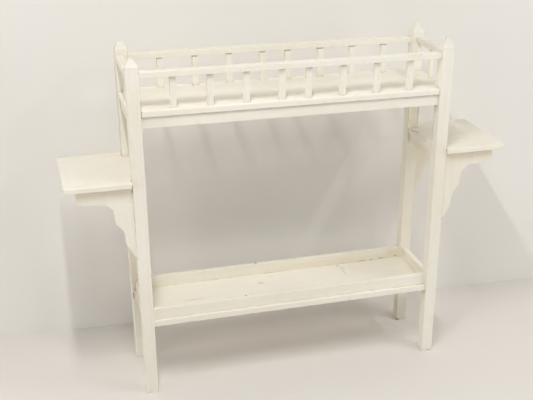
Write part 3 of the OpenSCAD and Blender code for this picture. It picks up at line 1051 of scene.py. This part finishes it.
# Rubbing changes with the patches by the shares in PATCHINESS, and RAGGED is how much specks add
WORN_PATCH = (0.35, 0.7)
PATCHINESS = (0.5, 1.5)
RAGGED = 0.9
# How hard a place must be rubbed for the paint to thin and to chip, and how far wear lowers that
THINNED = (0.52, 0.80)
CHIPPED = (0.80, 0.86)
WEAR_SHIFT = 0.26
SHOWS_OLD_COAT = 0.45
# Specks that chip off the faces, how much of them goes, and the specks of darker wood in a chip
CHIPPED_SPECK = (0.735, 0.765)
SPECK_GONE = 0.7
DARK_SPECK = (0.45, 0.7)


def rubbing(recipe, noise):
    """How hard each place has been rubbed."""
    looks_in = {"samples": ARRIS_RAYS, "inside": True, "only_local": True}
    seen = recipe.node("AmbientOcclusion", {"Distance": ARRIS_REACH}, **looks_in)
    arris = recipe.math("SUBTRACT", 1.0, seen.outputs["AO"])
    patchy = recipe.math("MULTIPLY", arris, recipe.range(noise["patch"], *WORN_PATCH, *PATCHINESS))
    ragged = recipe.math("MULTIPLY", recipe.math("SUBTRACT", noise["speck"], 0.5), RAGGED)
    return recipe.math("ADD", patchy, ragged)


def wear_off(recipe, noise, colour, wear):
    """The worn colour, and the mask of what is chipped off."""
    rubbed = rubbing(recipe, noise)
    shift = WEAR_SHIFT * wear
    thinned = recipe.range(rubbed, THINNED[0] - shift, THINNED[1] - shift, 0, SHOWS_OLD_COAT)
    colour = recipe.mix(thinned, colour, OLD_COAT)
    specks = recipe.math("MULTIPLY", recipe.range(noise["speck"], *CHIPPED_SPECK), SPECK_GONE)
    chip = recipe.range(rubbed, CHIPPED[0] - shift, CHIPPED[1] - shift)
    chip = recipe.math("MAXIMUM", chip, specks)
    wood = recipe.mix(recipe.range(noise["speck"], *DARK_SPECK), BARE_WOOD, DARK_WOOD)
    return recipe.mix(chip, colour, wood), chip


print("arrises are found", ARRIS_REACH, "m deep")

# %% [markdown]
# ## Marks over the coat
# Each mark of the list lays its own colour over the coat. Small ones are frayed by specks and large
# ones by patches, so that the rim suits the size. A knot also takes the streaks of the brush, and a
# knock counts as a chip, so that it sinks into the surface. One noise for all the rims would be
# simpler, but small marks would then stay smooth balls.

# %% Lay the marks
SMALL_MARK = 0.008
KNOT_STREAKS = (0.42, 0.6)
BETWEEN_STREAKS = 0.5


def lay_marks(recipe, noise, colour, chip, marks):
    """The marked colour, and the chips with the knocks among them."""
    for kind, place, size in marks:
        over, strength = TINTS[kind]
        mask = mark(recipe, place, size, noise["speck" if min(size) < SMALL_MARK else "patch"])
        if kind == "knot":
            streaks = recipe.range(noise["stroke"], *KNOT_STREAKS, BETWEEN_STREAKS, 1.0)
            mask = recipe.math("MULTIPLY", mask, streaks)
        colour = recipe.mix(recipe.math("MULTIPLY", mask, strength), colour, over)
        if kind == "knock":
            chip = recipe.math("MAXIMUM", chip, mask)
    return colour, chip


print("marks under", SMALL_MARK, "m are frayed by specks")

# %% [markdown]
# ## Sheen and relief
# The paint is satin, a little glossier along some strokes and matt where it is chipped. One Bump node
# raises strokes, bristles and the ridges of the grain and sinks the chips, all in metres. The waves
# and dents are already in the mesh. What is left is under a quarter of a millimetre high, which is
# too fine to be modelled.

# %% Sheen and relief
SATIN = (0.46, 0.6)
CHIP_MATT = 0.3
HEIGHTS = {"stroke": 0.00007, "bristle": 0.00003, "ridge": 0.00006, "chip": 0.00022}
BUMP_STRENGTH = 0.8


def relief(recipe, noise, chip):
    """Feeds the shader its roughness and its bumps."""
    sheen = recipe.range(noise["stroke"], *USUAL, *SATIN)
    recipe.feed("Roughness", recipe.math("ADD", sheen, recipe.math("MULTIPLY", chip, CHIP_MATT)))
    height = recipe.math("MULTIPLY", noise["stroke"], HEIGHTS["stroke"])
    for name in ("bristle", "ridge"):
        height = recipe.math("ADD", height, recipe.math("MULTIPLY", noise[name], HEIGHTS[name]))
    height = recipe.math("SUBTRACT", height, recipe.math("MULTIPLY", chip, HEIGHTS["chip"]))
    bump = recipe.node("Bump", {"Height": height, "Distance": 1.0, "Strength": BUMP_STRENGTH})
    recipe.feed("Normal", bump.outputs["Normal"])


print("chips are", HEIGHTS["chip"] * 1000, "mm deep")

# %% [markdown]
# ## Paint every piece
# The steps make one recipe. Pieces of one kind with the same grain share a material, and a piece with
# marks of its own gets one of its own. The lower tray is worn the most, and it and the side shelves get
# less dust and painted shade in their corners than the rest. One material could cover the whole stand,
# but then its strokes would not follow the grain of each board.

# %% Paint
WEAR = {"post": 0.55, "gallery": 0.45, "baluster": 0.35, "upper": 0.35, "lower": 0.75, "side": 0.5,
        "bracket": 0.4, "cross": 0.5}
DUST_AND_SHADE_BY_KIND = {"lower": 0.06, "side": 0.15}
SHARED = {}


def paint(name, grain, wear, dust_and_shade=USUAL_DUST_AND_SHADE, marks=()):
    """The cream paint, stroked along the grain, with dust and painted shade in its corners. Wear runs from
    0 to 1, or far below 0 for none.
    """
    recipe = Recipe(name)
    noise = noises(recipe, grain)
    colour = dust_and_shade_in_corners(recipe, noise, coat(recipe, noise), dust_and_shade)
    colour, chip = wear_off(recipe, noise, colour, wear)
    colour, chip = lay_marks(recipe, noise, colour, chip, marks)
    recipe.feed("Base Color", colour)
    relief(recipe, noise, chip)
    return recipe.material


for node, piece in MADE.items():
    kind = node.split("_")[0]
    grain = GRAIN[node]
    marks = MARKS.get(kind, []) + MARKS.get(node, [])
    dust_and_shade = DUST_AND_SHADE_BY_KIND.get(kind, USUAL_DUST_AND_SHADE)
    if node in MARKS:
        material = paint("paint_on_" + node, grain, WEAR[kind], dust_and_shade, marks)
    else:
        if (kind, grain) not in SHARED:
            name = f"{kind}_paint_along_{grain.lower()}"
            SHARED[kind, grain] = paint(name, grain, WEAR[kind], dust_and_shade, marks)
        material = SHARED[kind, grain]
    piece.data.materials.append(material)
print("materials:", len(bpy.data.materials))

# %% [markdown]
# ## Nails and dowels
# The nails lie flush and were painted over with the boards, and the dowels are beech that only shows
# where a joint opens. They could be modelled again like the boards, but their construction solids
# already have the right shape, so they stay and only get a finish of their own.

# %% Nails and dowels
BEECH = srgb(205, 172, 128)
FLECK = (0.006, 0.0006)
PORE = (0.03, 0.0012)
DARK_FLECK = (0.6, 0.7)
FLECK_DEPTH = 0.6
BEECH_SHEEN = (0.55, 0.7)
NO_WEAR = -3


def beech(name):
    """Plain beech with fine dark flecks along the dowel."""
    recipe = Recipe(name)
    fleck = recipe.noise(strokes(recipe, "X", *FLECK), 1, 2)
    pore = recipe.noise(strokes(recipe, "X", *PORE), 1, 3)
    colour = recipe.mix(recipe.range(pore, *USUAL), BEECH, BARE_WOOD)
    dark = recipe.range(fleck, *DARK_FLECK, 0, FLECK_DEPTH)
    recipe.feed("Base Color", recipe.mix(dark, colour, DARK_WOOD))
    recipe.feed("Roughness", recipe.range(fleck, *USUAL, *BEECH_SHEEN))
    height = recipe.math("MULTIPLY", pore, HEIGHTS["ridge"])
    recipe.feed("Normal", recipe.node("Bump", {"Height": height, "Distance": 1.0}).outputs["Normal"])
    return recipe.material


NAIL_PAINT = paint("nail_paint", "X", NO_WEAR)
DOWEL_WOOD = beech("dowel_wood")
for name in ("board_nails", "shelf_nails", "lip_nails", "bracket_dowels"):
    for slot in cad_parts[name].material_slots:
        slot.link = "OBJECT"
        slot.material = DOWEL_WOOD if name == "bracket_dowels" else NAIL_PAINT
print("nails and dowels finished")

# %% [markdown]
# ## Floor and wall
# The stand is shown on a plain pale floor in front of a plain wall that its shadows fall on. One
# curved backdrop is more usual, but the shadow on this wall bends where it meets the floor, and that
# tells how far off the wall is. The wall is see-through from behind, so that the stand can be looked
# at from every side.

# %% Stage
# A point that the wall passes through, its slant along the stand, and how deep its foot is sunk
WALL_POINT = Vector((-0.194, 0.3315, 0))
WALL_SLOPE = -0.043
WALL_SUNK = 0.01
STAGE_SIZE = 14
MATT = 0.9
FLOOR_COLOUR = srgb(229, 224, 218)
WALL_COLOUR = srgb(236, 233, 227)


def stage_material(name, colour, one_sided=False):
    """A plain matt colour, see-through from behind where it is one-sided."""
    recipe = Recipe(name)
    recipe.shader.inputs["Base Color"].default_value = colour
    recipe.shader.inputs["Roughness"].default_value = MATT
    if one_sided:
        clear = recipe.node("BsdfTransparent")
        back = recipe.node("NewGeometry").outputs["Backfacing"]
        both = recipe.node("MixShader", {0: back, 1: recipe.shader.outputs[0], 2: clear.outputs[0]})
        recipe.tree.links.new(both.outputs[0], recipe.tree.nodes["Material Output"].inputs["Surface"])
    return recipe.material


def stage_plane(name, place, turn, material):
    """A large square of the stage at that place, turned that way."""
    clear_bench()
    bpy.ops.mesh.primitive_plane_add(size=STAGE_SIZE, location=place, rotation=turn)
    plane = bpy.context.object
    plane.name = name
    plane.data.materials.append(material)


WALL_MIDDLE = WALL_POINT + Vector((0, 0, STAGE_SIZE / 2 - WALL_SUNK))
WALL_TURN = (math.pi / 2, 0, math.atan(WALL_SLOPE))
stage_plane("stage_floor", (0, 0, 0), (0, 0, 0), stage_material("stage_floor", FLOOR_COLOUR))
stage_plane("stage_wall", WALL_MIDDLE, WALL_TURN, stage_material("stage_wall", WALL_COLOUR, True))

# %% [markdown]
# ## The light
# Three long lamps hang overhead, in line with the view, as ceiling tubes do. Their length softens the
# shadows of boards that run across them and keeps those of the posts crisp. Three large soft panels
# stand in for the light that a pale room throws back, and a dim white sky fills the rest. One large
# lamp would be simpler, but its shadows would all be of one softness. The powers are low enough that
# the cream renders as it is written and nowhere turns to flat white.

# %% Light


def lamp(name, place, size, power, aim=None):
    """A rectangular lamp that looks straight down, or at the place that it is aimed at."""
    clear_bench()
    bpy.ops.object.light_add(type="AREA", location=place)
    light = bpy.context.object
    light.name = name
    light.data.shape = "RECTANGLE"
    light.data.size, light.data.size_y = size
    light.data.energy = power
    if aim:
        light.rotation_euler = (Vector(aim) - Vector(place)).to_track_quat("-Z", "Y").to_euler()
    print(name, power, "W")


STAND_MIDDLE = (0, 0, 0.6)
# Width and length of a lamp, and the strength of the sky
TUBE = (0.08, 1.2)
PANEL = (2.0, 2.0)
SKY = 0.16
lamp("left_tube", (-0.70, -1.4, 2.9), TUBE, 39)
lamp("right_tube", (1.6, -1.4, 2.9), TUBE, 18)
lamp("near_right_tube", (1.6, -3.6, 2.9), TUBE, 19)
lamp("front_panel", (-0.6, -4.0, 1.7), PANEL, 7, STAND_MIDDLE)
lamp("left_panel", (-3.2, -1.0, 1.2), PANEL, 28, STAND_MIDDLE)
lamp("right_panel", (3.2, -1.6, 1.2), PANEL, 33, STAND_MIDDLE)

world = bpy.data.worlds.new("studio")
bpy.context.scene.world = world
world.use_nodes = True
background = world.node_tree.nodes["Background"]
background.inputs["Color"].default_value = (1, 1, 1, 1)
background.inputs["Strength"].default_value = SKY

# %% [markdown]
# ## The view transform
# The view transform is set to Standard, which shows colours about as they are written. Others tone
# the whites down and would make the cream grey.

# %% Finish
bpy.context.scene.view_settings.view_transform = "Standard"
